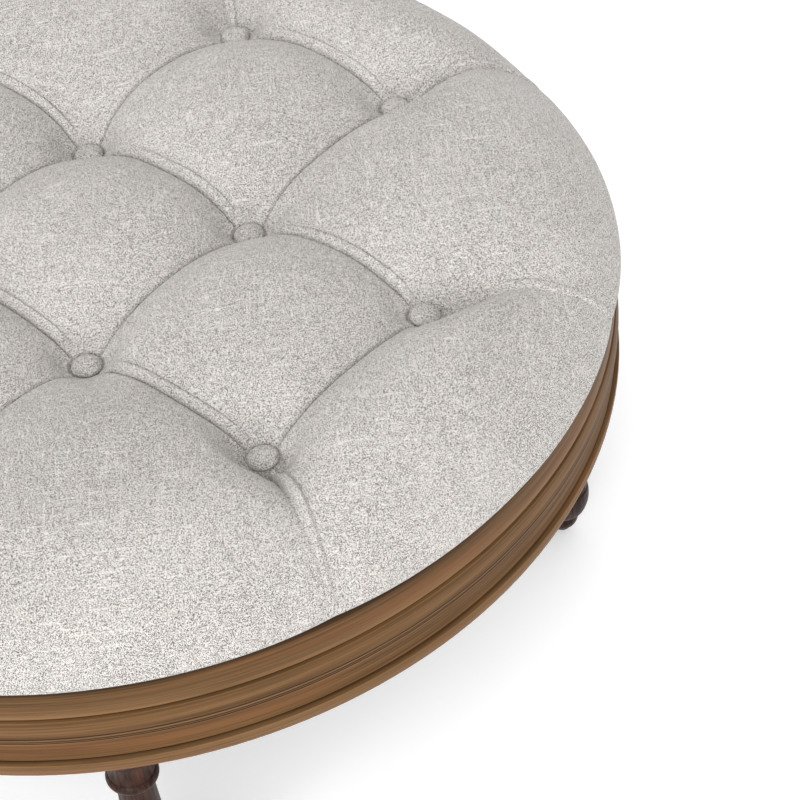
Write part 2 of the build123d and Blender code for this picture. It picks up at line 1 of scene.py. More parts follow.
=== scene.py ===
"""Dresses a round ottoman coffee table: its tufted cushion, buttons, moulded apron and turned legs.

All sizes are in metres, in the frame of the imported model: the floor is at zero under the middle of
the table, the rows of buttons run along X and Y, and the legs stand on the diagonals.
"""

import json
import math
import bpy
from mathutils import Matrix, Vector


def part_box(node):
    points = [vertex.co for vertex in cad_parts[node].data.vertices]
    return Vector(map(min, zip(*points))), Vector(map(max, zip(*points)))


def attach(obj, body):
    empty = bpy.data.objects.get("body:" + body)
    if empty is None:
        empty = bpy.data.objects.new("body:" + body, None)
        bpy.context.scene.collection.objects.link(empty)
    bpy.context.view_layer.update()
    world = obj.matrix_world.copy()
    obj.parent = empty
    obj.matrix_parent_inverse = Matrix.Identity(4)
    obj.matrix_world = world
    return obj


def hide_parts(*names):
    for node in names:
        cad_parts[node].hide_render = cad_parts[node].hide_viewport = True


bl_info = {
    "name": "Tufted ottoman table",
    "version": (1, 0, 0),
    "blender": (4, 5, 0),
    "location": "View3D > Sidebar > Ottoman",
    "description": "Builds the tufted cushion, the wood finishes and the stage of a round ottoman",
    "category": "Object",
}

import bmesh
import bpy
import numpy as np
from bpy.props import FloatProperty, FloatVectorProperty, IntProperty, PointerProperty
from bpy.types import Operator, Panel, PropertyGroup
from mathutils import Matrix, Vector

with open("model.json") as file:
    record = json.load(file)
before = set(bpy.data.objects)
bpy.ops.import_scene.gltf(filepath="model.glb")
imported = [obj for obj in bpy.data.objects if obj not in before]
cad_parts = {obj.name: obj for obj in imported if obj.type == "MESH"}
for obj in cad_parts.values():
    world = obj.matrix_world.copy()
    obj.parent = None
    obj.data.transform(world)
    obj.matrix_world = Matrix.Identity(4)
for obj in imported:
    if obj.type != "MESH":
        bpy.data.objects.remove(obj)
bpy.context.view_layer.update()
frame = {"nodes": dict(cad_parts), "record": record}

BODY = "root"
COVER_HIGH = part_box("cushion_cover")[1]
APRON_LOW, APRON_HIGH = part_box("apron_1")
BUTTON_NODES = sorted(
    name for name in frame["nodes"] if name.startswith("button_") and name[-1].isdigit()
)


# Properties that a user would change


class CushionSizes(PropertyGroup):
    """Sizes of the tufted cushion, heights measured up from the top of the apron."""

    pitch: FloatProperty(
        name="Button pitch", description="Distance between two buttons in a row",
        default=0.215, subtype="DISTANCE", unit="LENGTH",
    )
    rim_radius: FloatProperty(
        name="Rim radius", description="Radius of the cushion at its widest",
        default=COVER_HIGH.x + 0.0012, subtype="DISTANCE", unit="LENGTH",
    )
    square_crown: FloatProperty(
        name="Square crown", description="Height of a puff between four buttons",
        default=0.092, subtype="DISTANCE", unit="LENGTH",
    )
    side_crown: FloatProperty(
        name="Side crown", description="Height of an edge puff outside two buttons",
        default=0.091, subtype="DISTANCE", unit="LENGTH",
    )
    corner_crown: FloatProperty(
        name="Corner crown", description="Height of the large edge puff outside one button",
        default=0.095, subtype="DISTANCE", unit="LENGTH",
    )
    inner_seam: FloatProperty(
        name="Inner seam height",
        description="Height of the middle of a seam between inner buttons",
        default=0.061, subtype="DISTANCE", unit="LENGTH",
    )
    outer_seam: FloatProperty(
        name="Outer seam height",
        description="Height of the middle of a seam that ends at an outer button",
        default=0.066, subtype="DISTANCE", unit="LENGTH",
    )
    inner_bow: FloatProperty(
        name="Inner seam bow", description="How far the middle of an inner seam bows outwards",
        default=0.0035, subtype="DISTANCE", unit="LENGTH",
    )
    outer_bow: FloatProperty(
        name="Outer seam bow", description="How far the middle of an outer seam bows outwards",
        default=0.0052, subtype="DISTANCE", unit="LENGTH",
    )
    pleat_height: FloatProperty(
        name="Pleat height", description="Height of an edge pleat before it falls to the rim",
        default=0.073, subtype="DISTANCE", unit="LENGTH",
    )
    leading_pleat: FloatProperty(
        name="Leading pleat",
        description="Angle of the pleat at the far end of a side from its row",
        default=math.radians(48), subtype="ANGLE", unit="ROTATION",
    )
    trailing_pleat: FloatProperty(
        name="Trailing pleat",
        description="Angle of the pleat at the near end of a side from its row",
        default=math.radians(27.5), subtype="ANGLE", unit="ROTATION",
    )
    fold_depth: FloatProperty(
        name="Fold depth", description="Depth of the narrow fold line along a seam",
        default=0.0040, subtype="DISTANCE", unit="LENGTH",
    )
    fold_width: FloatProperty(
        name="Fold width", description="Half width of the narrow fold line along a seam",
        default=0.0018, subtype="DISTANCE", unit="LENGTH",
    )
    tuck_width: FloatProperty(
        name="Tuck width", description="Width of the folded strip beside a seam",
        default=0.0085, subtype="DISTANCE", unit="LENGTH",
    )
    tuck_height: FloatProperty(
        name="Tuck height", description="How far the folded strip stands up",
        default=0.0025, subtype="DISTANCE", unit="LENGTH",
    )
    rib_width: FloatProperty(
        name="Pleat rib width", description="Half width of the rib along an edge pleat",
        default=0.0038, subtype="DISTANCE", unit="LENGTH",
    )
    rib_height: FloatProperty(
        name="Pleat rib height", description="How far the rib of an edge pleat stands up",
        default=0.0072, subtype="DISTANCE", unit="LENGTH",
    )


class ButtonSizes(PropertyGroup):
    """Sizes of the covered buttons."""

    radius: FloatProperty(
        name="Button radius", description="Radius of a covered button",
        default=0.0142, subtype="DISTANCE", unit="LENGTH",
    )
    segments: IntProperty(
        name="Button segments", description="Points round a button's edge",
        default=64, min=24, max=160,
    )


class FabricLook(PropertyGroup):
    """Colours and thread size of the heathered fabric."""

    light: FloatVectorProperty(
        name="Light thread", description="Colour of the palest threads",
        default=(0.62, 0.597, 0.573), size=3, min=0, max=1, subtype="COLOR",
    )
    middle: FloatVectorProperty(
        name="Middle thread", description="Colour of most threads",
        default=(0.395, 0.376, 0.356), size=3, min=0, max=1, subtype="COLOR",
    )
    dark: FloatVectorProperty(
        name="Dark thread", description="Colour of the darkest flecks",
        default=(0.075, 0.069, 0.063), size=3, min=0, max=1, subtype="COLOR",
    )
    thread: FloatProperty(
        name="Thread pitch", description="Distance from thread to thread",
        default=0.00078, subtype="DISTANCE", unit="LENGTH",
    )


class WoodLook(PropertyGroup):
    """Colours of the stained apron and the dark legs."""

    # Also the colour of the painted highlights on the apron's edges and band tops.
    light: FloatVectorProperty(
        name="Rubbed wood", description="Colour where the stain is rubbed thin",
        default=(0.225, 0.122, 0.052), size=3, min=0, max=1, subtype="COLOR",
    )
    middle: FloatVectorProperty(
        name="Stained wood", description="Colour of the stained bands",
        default=(0.112, 0.055, 0.0185), size=3, min=0, max=1, subtype="COLOR",
    )
    # Also the colour of the painted shade in the grooves and the painted shadow under the cushion.
    dark: FloatVectorProperty(
        name="Stain in the grooves", description="Colour of the stain left in the grooves",
        default=(0.026, 0.0125, 0.005), size=3, min=0, max=1, subtype="COLOR",
    )
    leg: FloatVectorProperty(
        name="Leg wood", description="Colour of the dark turned legs",
        default=(0.026, 0.011, 0.007), size=3, min=0, max=1, subtype="COLOR",
    )


class StageSettings(PropertyGroup):
    """Floor colour and light strengths."""

    floor: FloatVectorProperty(
        name="Floor", description="Colour of the plain floor",
        default=(0.97, 0.97, 0.97), size=3, min=0, max=1, subtype="COLOR",
    )
    sky: FloatProperty(
        name="Sky strength", description="Strength of the even light all round",
        default=0.95, min=0, max=5,
    )
    key: FloatProperty(
        name="Key light", description="Strength of the large soft key light",
        default=2.45, min=0, max=50,
    )
    softness: FloatProperty(
        name="Key softness", description="Angle that the key light fills, seen from the table",
        default=math.radians(50), subtype="ANGLE", unit="ROTATION",
    )


# Mesh helpers


def mesh_object(name, points, faces, material, merge=0.0):
    """A smooth-shaded object from points and faces, with near points merged if asked."""
    mesh = bpy.data.meshes.new(name)
    mesh.from_pydata([tuple(p) for p in points], [], [tuple(f) for f in faces])
    if merge:
        work = bmesh.new()
        work.from_mesh(mesh)
        bmesh.ops.remove_doubles(work, verts=work.verts, dist=merge)
        bmesh.ops.recalc_face_normals(work, faces=work.faces)
        work.to_mesh(mesh)
        work.free()
    mesh.polygons.foreach_set("use_smooth", [True] * len(mesh.polygons))
    mesh.materials.append(material)
    made = bpy.data.objects.new(name, mesh)
    bpy.context.scene.collection.objects.link(made)
    return made


def grid_faces(rows, columns, first=0, closed=False):
    """Quads over a grid of points stored row by row, closed round its columns if asked."""
    faces = []
    last = columns if closed else columns - 1
    for row in range(rows - 1):
        for column in range(last):
            right = (column + 1) % columns
            low, high = first + row * columns, first + (row + 1) * columns
            faces.append((low + column, low + right, high + right, high + column))
    return faces


def smooth_step(low, high, value):
    """0 below low, 1 above high and a smooth rise between."""
    share = np.clip((value - low) / (high - low), 0, 1)
    return share * share * (3 - 2 * share)


# The tufted cushion


# Distances from a seam at which the skin has points, close together where it folds. Then how many
# more points lead to the middle of a square puff and to the rim, and how they crowd to the rim.
NEAR_SEAM = (
    0.0, 0.0004, 0.0009, 0.0015, 0.0022, 0.0030, 0.0040, 0.0052, 0.0064, 0.0076, 0.0086, 0.0095,
    0.0104, 0.0113, 0.0122, 0.0131, 0.0140, 0.0149, 0.0157, 0.0165, 0.0174, 0.0186, 0.0202, 0.0224,
    0.0254, 0.0292, 0.0340, 0.0400,
)
SEAM_REST = 8
RIM_REST = 28
RIM_CROWDING = 1.6

# How the puffs round over, where the edge puffs have their crests, and how they fall to the rim.
FULLNESS = 2.4
PLEAT_EASE = 0.9
SIDE_CREST = (0.62, 0.45)
CORNER_CREST = (0.62, 0.57)
EDGE_REACH = 0.115
EDGE_POWER = 1 / 1.3
RIM_LIFT = 0.003
RIM_DRAW_IN = 0.003
RIM_DRAW_POWER = 4

# The wells round the buttons, and the heights of the buttons and of the seams that end there.
WELL_RADIUS = 0.0167
WELL_FOOT = WELL_RADIUS - 0.0007
WELL_LIP = WELL_RADIUS + 0.0009
WELL_PULL = (WELL_RADIUS + 0.0012, 0.042)
WELL_SLOPE = 0.66
WELL_WALL_POWER = 0.7
LIP_DROP = 0.001
BUTTON_SINK = 0.0050
FLOOR_GAP = 0.0003
OUTER_LEVEL = 0.047
INNER_LEVEL = 0.037
OUTER_END = 0.034
INNER_END = 0.024

# The fold lines along the seams, and the folded strips beside them, fainter along the columns.
FOLD_POWER = 1.5
SOFT_FOLD_DEPTH = 0.0009
SOFT_FOLD_WIDTH = 0.007
SOFT_FOLD_MIDDLE = 0.5
TUCK_GAP = 0.0012
TUCK_LINE_DEPTH = 0.0018
COLUMN_TUCKS = 0.4
LINE_WIDTH = 0.0009

# The ribs of the edge pleats and the valleys that they lie in. Starts, ends and spans are shares of
# the way to the rim.
RIB_FOOT = 0.75
RIB_SWELL = 0.5
RIB_SWELL_END = 0.3
RIB_TAPER = 0.45
RIB_TAPER_START = 0.4
RIB_DROP = 0.5
RIB_LINE_DEPTH = 0.0008
RIB_FADE = 0.2
RIB_FADE_SPAN = (0.50, 0.98)
RIB_RISE_END = 0.07
VALLEY_DEPTH = 0.0160
VALLEY_WIDTH = 0.027
VALLEY_POWER = 1.8
VALLEY_RISE_END = 0.16
TRAILING_BOW = 0.0065
BOW_POWER = 0.7

# Distances from a button between which the folds, the tucks and the small dents set in.
FOLDS_SET_IN = (WELL_RADIUS, WELL_RADIUS + 0.003)
TUCKS_SET_IN = (WELL_RADIUS + 0.004, WELL_RADIUS + 0.022)
DENTS_SET_IN = (0.012, 0.05)

# The small dents of stuffed cloth: two heights, and how fast and from where their waves run.
BROAD_DENT = 0.0007
BROAD_WAVE_X, BROAD_START_X = 31, 1.3
BROAD_WAVE_Y, BROAD_START_Y = 27, 0.4
FINE_DENT = 0.0005
FINE_WAVE_X, FINE_WAVE_Y = 67, 45

# Points closer than this become one: where puffs meet, and in a button.
SKIN_MERGE = 2e-5
BUTTON_MERGE = 1e-6

# Cosine and sine of each quarter turn.
QUARTER_TURNS = ((1, 0), (0, 1), (-1, 0), (0, -1))


class Tufting:
    """Where the seams, pleats and buttons of the cushion lie, and how high its skin is."""

    def __init__(self, sizes):
        self.s = sizes
        self.half = sizes.pitch / 2
        self.outer = sizes.pitch * 1.5
        self.lines = (-self.outer, -self.half, self.half, self.outer)
        self.buttons = [
            (x, y, OUTER_LEVEL if max(abs(x), abs(y)) > sizes.pitch else INNER_LEVEL)
            for x in self.lines for y in self.lines if min(abs(x), abs(y)) < sizes.pitch
        ]
        rest = np.linspace(NEAR_SEAM[-1], self.half, SEAM_REST + 1)[1:]
        ahead = np.append(NEAR_SEAM, rest) / self.half - 1
        self.along_seam = np.concatenate([ahead, -ahead[-2::-1]])

    def seam_bow(self, line, along):
        """How far outwards a seam on a grid line lies from it, at a place along that line."""
        middle = np.abs(along) < self.half
        t = np.where(middle, along, np.abs(along) - self.s.pitch) / self.half
        inner = middle & (abs(line) < self.s.pitch)
        bow = np.where(inner, self.s.inner_bow, self.s.outer_bow)
        return math.copysign(1, line) * bow * np.clip(1 - t**2, 0, 1)

    def seam_height(self, middle, start, end, t):
        """Height along a seam that sags from its middle to the buttons at its start and end."""
        return middle - (middle - np.where(t < 0, start, end)) * np.abs(t) ** FULLNESS

    def fold(self, distance, t):
        """How far a seam sinks the skin: a narrow fold line in a soft one."""
        sharp = np.clip(1 - distance / self.s.fold_width, 0, 1) ** FOLD_POWER
        soft = SOFT_FOLD_DEPTH * np.clip(1 - distance / SOFT_FOLD_WIDTH, 0, 1) ** 2
        return self.s.fold_depth * sharp + soft * (
            SOFT_FOLD_MIDDLE + (1 - SOFT_FOLD_MIDDLE) * np.abs(t)
        )

    def rib(self, gap, share):
        """The rib of an edge pleat with its two lines, in a valley that fades to the rim."""
        swell = RIB_SWELL * smooth_step(0.0, RIB_SWELL_END, share)
        taper = RIB_TAPER * smooth_step(RIB_TAPER_START, 1, share)
        width = self.s.rib_width * (RIB_FOOT + swell - taper)
        round_top = np.sqrt(np.clip(1 - (gap / width) ** 2, 0, 1))
        crest = round_top * self.s.rib_height * (1 - RIB_DROP * share)
        line = RIB_LINE_DEPTH * np.exp(-(((gap - width) / LINE_WIDTH) ** 2))
        fade = 1 - RIB_FADE * smooth_step(*RIB_FADE_SPAN, share)
        fade = fade * smooth_step(0, RIB_RISE_END, share)
        valley = VALLEY_DEPTH * np.exp(-((gap / VALLEY_WIDTH) ** 2))
        valley = valley * (1 - share) ** VALLEY_POWER * smooth_step(0, VALLEY_RISE_END, share)
        return (crest - line) * fade - valley

    def tucks(self, x, y):
        """The folded strips beside the seams, beyond the rows and faint on the columns."""
        total = np.zeros_like(x)
        edge = TUCK_GAP + self.s.tuck_width
        for along, off, strength in ((x, y, 1.0), (y, -x, COLUMN_TUCKS)):
            for line in self.lines:
                reach = self.half if abs(line) > self.s.pitch else self.outer
                gap = off - line - self.seam_bow(line, along)
                place = (gap - TUCK_GAP) / self.s.tuck_width
                strip = np.sqrt(np.clip(4 * place * (1 - place), 0, 1)) * self.s.tuck_height
                drop = TUCK_LINE_DEPTH * np.exp(-(((gap - edge) / LINE_WIDTH) ** 2))
                total = total + strength * (strip - drop) * (np.abs(along) < reach)
        return total

    def dimple(self, x, y, z):
        """The skin height drawn down to the buttons, and how far each point is from a button."""
        nearest = np.full_like(x, np.inf)
        for bx, by, level in self.buttons:
            reach = np.hypot(x - bx, y - by)
            nearest = np.minimum(nearest, reach)
            cone = level - LIP_DROP + WELL_SLOPE * (np.maximum(reach, WELL_LIP) - WELL_LIP)
            floor = level - BUTTON_SINK - FLOOR_GAP
            wall = smooth_step(WELL_FOOT, WELL_LIP, reach) ** WELL_WALL_POWER
            well = floor + (cone - floor) * wall
            z = z + (well - z) * (1 - smooth_step(*WELL_PULL, reach))
        return z, nearest

    def dents(self, x, y):
        """The small dents and swellings of stuffed cloth, as a broad and a finer wave."""
        broad = BROAD_DENT * np.sin(x * BROAD_WAVE_X + BROAD_START_X)
        broad = broad * np.sin(y * BROAD_WAVE_Y + BROAD_START_Y)
        return broad + FINE_DENT * np.sin(x * FINE_WAVE_X + y * FINE_WAVE_Y)

    def finish(self, x, y, z, quarter, sunk, raised=0.0):
        """Turns a tile into place, adds its dimples, folds, tucks and dents, and lays it down."""
        cos, sin = QUARTER_TURNS[quarter]
        x, y = cos * x - sin * y, sin * x + cos * y
        z, nearest = self.dimple(x, y, z)
        z = z + (raised - sunk) * smooth_step(*FOLDS_SET_IN, nearest)
        z = z + self.tucks(x, y) * smooth_step(*TUCKS_SET_IN, nearest)
        z = z + self.dents(x, y) * smooth_step(*DENTS_SET_IN, nearest)
        return np.stack([x, y, z + APRON_HIGH.z], -1)

    def square(self, middle, quarter):
        """A puff between four buttons, as a grid of points, with its middle on the X axis."""
        s = self.s
        u, v = np.meshgrid(self.along_seam, self.along_seam)
        sides, far_end = (s.outer_seam, OUTER_END) if middle > 0 else (s.inner_seam, INNER_END)
        x_seam = np.where(u < 0, s.inner_seam, sides)
        corner = np.where(u < 0, INNER_END, far_end)
        au, av = np.abs(u) ** FULLNESS, np.abs(v) ** FULLNESS
        twist = x_seam + sides - s.square_crown - corner
        z = s.square_crown - (s.square_crown - x_seam) * au
        z = z - (s.square_crown - sides) * av - twist * au * av
        x, y = middle + u * self.half, v * self.half
        for side in (-1, 1):
            line_x, line_y = middle + side * self.half, side * self.half
            x_bow, y_bow = self.seam_bow(line_x, y), self.seam_bow(line_y, x)
            x = x + x_bow * ((1 + side * u) / 2) ** 2
            y = y + y_bow * ((1 + side * v) / 2) ** 2
        sunk = np.zeros_like(z)
        for gap, t in ((1 - u, v), (1 + u, v), (1 - v, u), (1 + v, u)):
            sunk = np.maximum(sunk, self.fold(gap * self.half, t))
        return self.finish(x, y, z, quarter, sunk)

    def petal(self, starts, inner, first, last, crown, crest):
        """An edge puff fanned out from its inner seam, between its first and last pleat."""
        s = self.s
        (x0, y0), (x1, y1) = starts[0], starts[-1]
        slope_0, slope_1 = math.tan(first), math.tan(last)
        apex_x = (y1 - y0 + slope_0 * x0 - slope_1 * x1) / (slope_0 - slope_1)
        apex = np.array([apex_x, y0 + slope_0 * (apex_x - x0)])
        heading = starts - apex
        heading = heading / np.linalg.norm(heading, axis=1)[:, None]
        angle = np.arctan2(heading[:, 1], heading[:, 0])
        turn = (2 * angle - first - last) / (last - first)
        rim = s.rim_radius - RIM_DRAW_IN * np.abs(turn) ** RIM_DRAW_POWER
        dot = (starts * heading).sum(1)
        length = -dot + np.sqrt(dot**2 - (starts**2).sum(1) + rim**2)
        outward = 1 - (1 - np.linspace(0, 1, RIM_REST + 1)[1:]) ** RIM_CROWDING
        steps = np.tile(NEAR_SEAM, (len(starts), 1))
        rest = NEAR_SEAM[-1] + (length - NEAR_SEAM[-1])[:, None] * outward
        reach = np.concatenate([steps, rest], 1)
        x = starts[:, :1] + heading[:, :1] * reach
        y = starts[:, 1:] + heading[:, 1:] * reach
        share = reach / length[:, None]
        fall = np.clip(rim[:, None] - np.hypot(x, y), 0, None)
        edge = (1 - (1 - np.clip(fall / EDGE_REACH, 0, 1)) ** 2) ** EDGE_POWER
        across = np.abs(turn)[:, None]
        top = s.pleat_height + (crown - s.pleat_height) * (1 - across**FULLNESS)
        crest_share = crest[0] + (crest[1] - crest[0]) * (1 - across**2)
        rise = np.clip(1 - share / crest_share, 0, 1) ** (FULLNESS - PLEAT_EASE * across**2)
        z = RIM_LIFT + edge * (top - (top - inner[:, None]) * rise - RIM_LIFT)
        ribs = np.zeros_like(z)
        bend = TRAILING_BOW * np.sin(np.pi * np.clip(share, 0, 1)) ** BOW_POWER
        for slope, pin_x, pin_y in ((first, x0, y0), (last, x1, y1)):
            aside = (y - pin_y) * math.cos(slope) - (x - pin_x) * math.sin(slope)
            # Only a trailing pleat bows.
            bow = 0.0 if slope == s.leading_pleat else bend
            ribs = ribs + self.rib(np.abs(aside - bow), share)
        return x, y, z, ribs

    def side_petal(self, quarter):
        """The edge puff outside two neighbouring outer buttons, on the +X side before its turn."""
        s, t = self.s, self.along_seam
        starts = np.stack([self.outer + s.outer_bow * (1 - t**2), t * self.half], 1)
        inner = self.seam_height(s.outer_seam, OUTER_END, OUTER_END, t)
        first, last = -s.trailing_pleat, s.leading_pleat
        x, y, z, ribs = self.petal(starts, inner, first, last, s.side_crown, SIDE_CREST)
        seam = self.seam_bow(self.outer, np.clip(y, -self.half, self.half))
        gap = np.abs(x - self.outer - seam)
        return self.finish(x, y, z, quarter, self.fold(gap, t[:, None]), ribs)

    def corner_petal(self, quarter):
        """The large edge puff outside one inner button, between +X and +Y before its turn."""
        s, t = self.s, self.along_seam
        run, bow = s.pitch + t * self.half, self.half + s.outer_bow * (1 - t**2)
        starts = np.concatenate([np.stack([run, bow], 1)[::-1], np.stack([bow, run], 1)[1:]])
        inner = self.seam_height(s.outer_seam, INNER_END, OUTER_END, t)
        inner = np.concatenate([inner[::-1], inner[1:]])
        places = np.concatenate([t[::-1], t[1:]])
        first, last = s.leading_pleat, math.pi / 2 - s.trailing_pleat
        x, y, z, ribs = self.petal(starts, inner, first, last, s.corner_crown, CORNER_CREST)
        sunk = np.zeros_like(z)
        for along, off in ((x, y), (y, x)):
            seam = self.seam_bow(self.half, np.clip(along, self.half, self.outer))
            gap = np.abs(off - self.half - seam)
            sunk = np.maximum(sunk, self.fold(gap, places[:, None]))
        return self.finish(x, y, z, quarter, sunk, ribs)


# The turned-under hem and the underside: how far in from the rim, and how far above the apron.
HEM_ROWS = (
    (0.0009, 0.0010), (0.0030, -0.0001), (0.0075, -0.0006), (0.0200, -0.0002), (0.0500, 0.0002),
    (0.0530, 0.0010), (0.0500, 0.0026), (0.0250, 0.0030), (0.0145, 0.0040), (0.0145, 0.0100),
    (0.0150, 0.0185), (0.0200, 0.0190), (0.1500, 0.0190),
)


class OTTOMAN_OT_cushion(Operator):
    """Build the tufted cushion over the deck"""

    bl_idname = "ottoman.cushion"
    bl_label = "Tufted cushion"

    def execute(self, context):
        tufting = Tufting(context.scene.ottoman_cushion)
        tiles = [tufting.square(0.0, 0)]
        rim = []
        for quarter in range(4):
            tiles.append(tufting.square(tufting.s.pitch, quarter))
            for petal in (tufting.side_petal(quarter), tufting.corner_petal(quarter)):
                tiles.append(petal)
                rim += list(petal[:-1, -1])
        points, faces = [], []
        for tile in tiles:
            faces += grid_faces(*tile.shape[:2], len(points))
            points += list(tile.reshape(-1, 3))
        faces += self.underside(points, rim)
        cloth = heathered_fabric("cushion_fabric")
        cushion = mesh_object("tufted_cushion", points, faces, cloth, SKIN_MERGE)
        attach(cushion, BODY)
        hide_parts("cushion_cover", "foam_pad", "edge_wadding")
        return {"FINISHED"}

    def underside(self, points, rim):
        """Adds the turned-under hem and the underside to the points, and returns their faces."""
        rim = sorted(rim, key=lambda p: math.atan2(p[1], p[0]))
        count = len(rim)
        first = len(points)
        points += rim
        base = APRON_HIGH.z
        for inset, height in HEM_ROWS:
            for p in rim:
                radius = math.hypot(p[0], p[1])
                scale = (radius - inset) / radius
                points.append((p[0] * scale, p[1] * scale, base + height))
        rows = len(HEM_ROWS) + 1
        faces = grid_faces(rows, count, first, closed=True)
        last = first + (rows - 1) * count
        points.append((0.0, 0.0, base + HEM_ROWS[-1][1]))
        centre = len(points) - 1
        faces += [(last + i, last + (i + 1) % count, centre) for i in range(count)]
        return faces


# Covered buttons


# A button's outline from the middle of its top to the middle of its back: a share of its radius,
# and a height.
BUTTON_PROFILE = (
    (0.00, 0.0041), (0.14, 0.0041), (0.30, 0.0039), (0.46, 0.0035), (0.61, 0.0028), (0.74, 0.0019),
    (0.85, 0.0008), (0.93, -0.0004), (0.985, -0.0017), (1.00, -0.0028), (0.985, -0.0040),
    (0.90, -0.0049), (0.50, -0.0050), (0.00, -0.0050),
)

# The most that a button leans, in degrees, how the lean turns from one button to the next, and
# the gathers round the button's edge.
BUTTON_LEAN = 2.2
LEAN_STEP_X = 2.4
LEAN_STEP_Y = 1.7
GATHERS = 12
GATHER_DEPTH = 0.012
GATHER_START = 0.8


class OTTOMAN_OT_buttons(Operator):
    """Build the fabric-covered buttons in their wells"""

    bl_idname = "ottoman.buttons"
    bl_label = "Covered buttons"

    def execute(self, context):
        sizes = context.scene.ottoman_buttons
        cloth = heathered_fabric("button_fabric")
        for number, node in enumerate(BUTTON_NODES):
            low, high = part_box(node)
            middle = (low + high) / 2
            level = low.z - BUTTON_PROFILE[-1][1]
            self.make(sizes, cloth, node, number, Vector((middle.x, middle.y, level)))
        return {"FINISHED"}

    def make(self, sizes, cloth, node, number, place):
        """One covered button, leaning by a degree or two, with soft gathers under its rim."""
        count = sizes.segments
        lean_x = math.radians(BUTTON_LEAN * math.sin(number * LEAN_STEP_X))
        lean_y = math.radians(BUTTON_LEAN * math.cos(number * LEAN_STEP_Y))
        lean = Matrix.Rotation(lean_x, 4, "X") @ Matrix.Rotation(lean_y, 4, "Y")
        points = []
        for share, height in BUTTON_PROFILE[1:-1]:
            tight = smooth_step(GATHER_START, 1.0, share)
            for step in range(count):
                angle = 2 * math.pi * step / count
                gather = 1 + GATHER_DEPTH * math.sin(angle * GATHERS + number) * tight
                radius = sizes.radius * share * gather
                point = Vector((radius * math.cos(angle), radius * math.sin(angle), height))
                points.append(place + lean @ point)
        rows = len(BUTTON_PROFILE) - 2
        faces = grid_faces(rows, count, closed=True)
        points.append(place + Vector((0, 0, BUTTON_PROFILE[0][1])))
        points.append(place + Vector((0, 0, BUTTON_PROFILE[-1][1])))
        top, bottom = len(points) - 2, len(points) - 1
        last = (rows - 1) * count
        faces += [((i + 1) % count, i, top) for i in range(count)]
        faces += [(last + i, last + (i + 1) % count, bottom) for i in range(count)]
        button = mesh_object("covered_" + node, points, faces, cloth, BUTTON_MERGE)
        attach(button, BODY)
        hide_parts(node)


# Materials


# Numbers of the Mix node's sockets for its share, its two colours and its result.
MIX_SHARE, MIX_FIRST, MIX_SECOND, MIX_RESULT = 0, 6, 7, 2


class Finish:
    """A node material that is built up a node at a time."""

    def __init__(self, name):
        self.material = bpy.data.materials.new(name)
        self.material.use_nodes = True
        self.tree = self.material.node_tree
        self.tree.nodes.clear()
        self.shader = self.add("ShaderNodeBsdfPrincipled")
        output = self.add("ShaderNodeOutputMaterial")
        self.tree.links.new(self.shader.outputs[0], output.inputs["Surface"])
        self.place = self.add("ShaderNodeTexCoord").outputs["Object"]

    def add(self, kind, inputs=None, **settings):
        """A new node with its settings, and its inputs given as values or as sockets to join."""
        node = self.tree.nodes.new(kind)
        for key, value in settings.items():
            setattr(node, key, value)
        self.put(node, inputs or {})
        return node

    def put(self, node, inputs):
        """Sets a node's inputs to values, or joins other nodes' outputs to them."""
        for key, value in inputs.items():
            if isinstance(value, bpy.types.NodeSocket):
                self.tree.links.new(value, node.inputs[key])
            else:
                node.inputs[key].default_value = value

    def shade(self, inputs):
        """Sets or joins the shader's own inputs."""
        self.put(self.shader, inputs)

    def noise(self, vector, scale, detail, roughness):
        """Noise over a vector, between 0 and 1."""
        made = self.add("ShaderNodeTexNoise", {
            "Vector": vector, "Scale": scale, "Detail": detail, "Roughness": roughness,
        })
        return made.outputs["Fac"]

    def streaks(self, scale, detail, roughness, vector=None):
        """Noise over the object, or over a vector, with each axis scaled for itself."""
        made = self.add("ShaderNodeMapping", {"Vector": vector or self.place, "Scale": scale})
        return self.noise(made.outputs["Vector"], 1.0, detail, roughness)

    def math(self, operation, first, second, clamp=False):
        """One step of arithmetic on two values."""
        settings = {"operation": operation, "use_clamp": clamp}
        made = self.add("ShaderNodeMath", {0: first, 1: second}, **settings)
        return made.outputs[0]

    def times(self, first, second, clamp=False):
        """One value times another."""
        return self.math("MULTIPLY", first, second, clamp)

    def span(self, value, low, high, out_low=0.0, out_high=1.0):
        """A value's span mapped to another, smoothly and within its ends."""
        made = self.add("ShaderNodeMapRange", {
            "Value": value, "From Min": low, "From Max": high,
            "To Min": out_low, "To Max": out_high,
        }, interpolation_type="SMOOTHSTEP")
        return made.outputs["Result"]

    def mix(self, share, first, second, blend="MIX"):
        """Two colours mixed by a share."""
        made = self.add("ShaderNodeMix", data_type="RGBA", blend_type=blend)
        self.put(made, {MIX_SHARE: share})
        for key, colour in ((MIX_FIRST, first), (MIX_SECOND, second)):
            joined = isinstance(colour, bpy.types.NodeSocket)
            self.put(made, {key: colour if joined else (*colour, 1)})
        return made.outputs[MIX_RESULT]

    def ramp(self, value, stops):
        """A colour ramp over a value, from pairs of a place and a grey or a colour."""
        made = self.add("ShaderNodeValToRGB", {"Fac": value})
        elements = made.color_ramp.elements
        while len(elements) < len(stops):
            elements.new(0.5)
        for element, (place, colour) in zip(elements, stops):
            element.position = place
            element.color = (*colour, 1) if hasattr(colour, "__len__") else (*[colour] * 3, 1)
        return made.outputs["Color"]

    def grey(self, value):
        """A value as a colour."""
        return self.ramp(value, ((0.0, 0.0), (1.0, 1.0)))

    def bump(self, height, strength, distance):
        """Sets the shader's normal from a height."""
        made = self.add("ShaderNodeBump", {
            "Height": height, "Strength": strength, "Distance": distance,
        })
        self.shade({"Normal": made.outputs["Normal"]})


def toned(colour, amount):
    """A colour made lighter or darker by an amount."""
    return tuple(amount * part for part in colour)


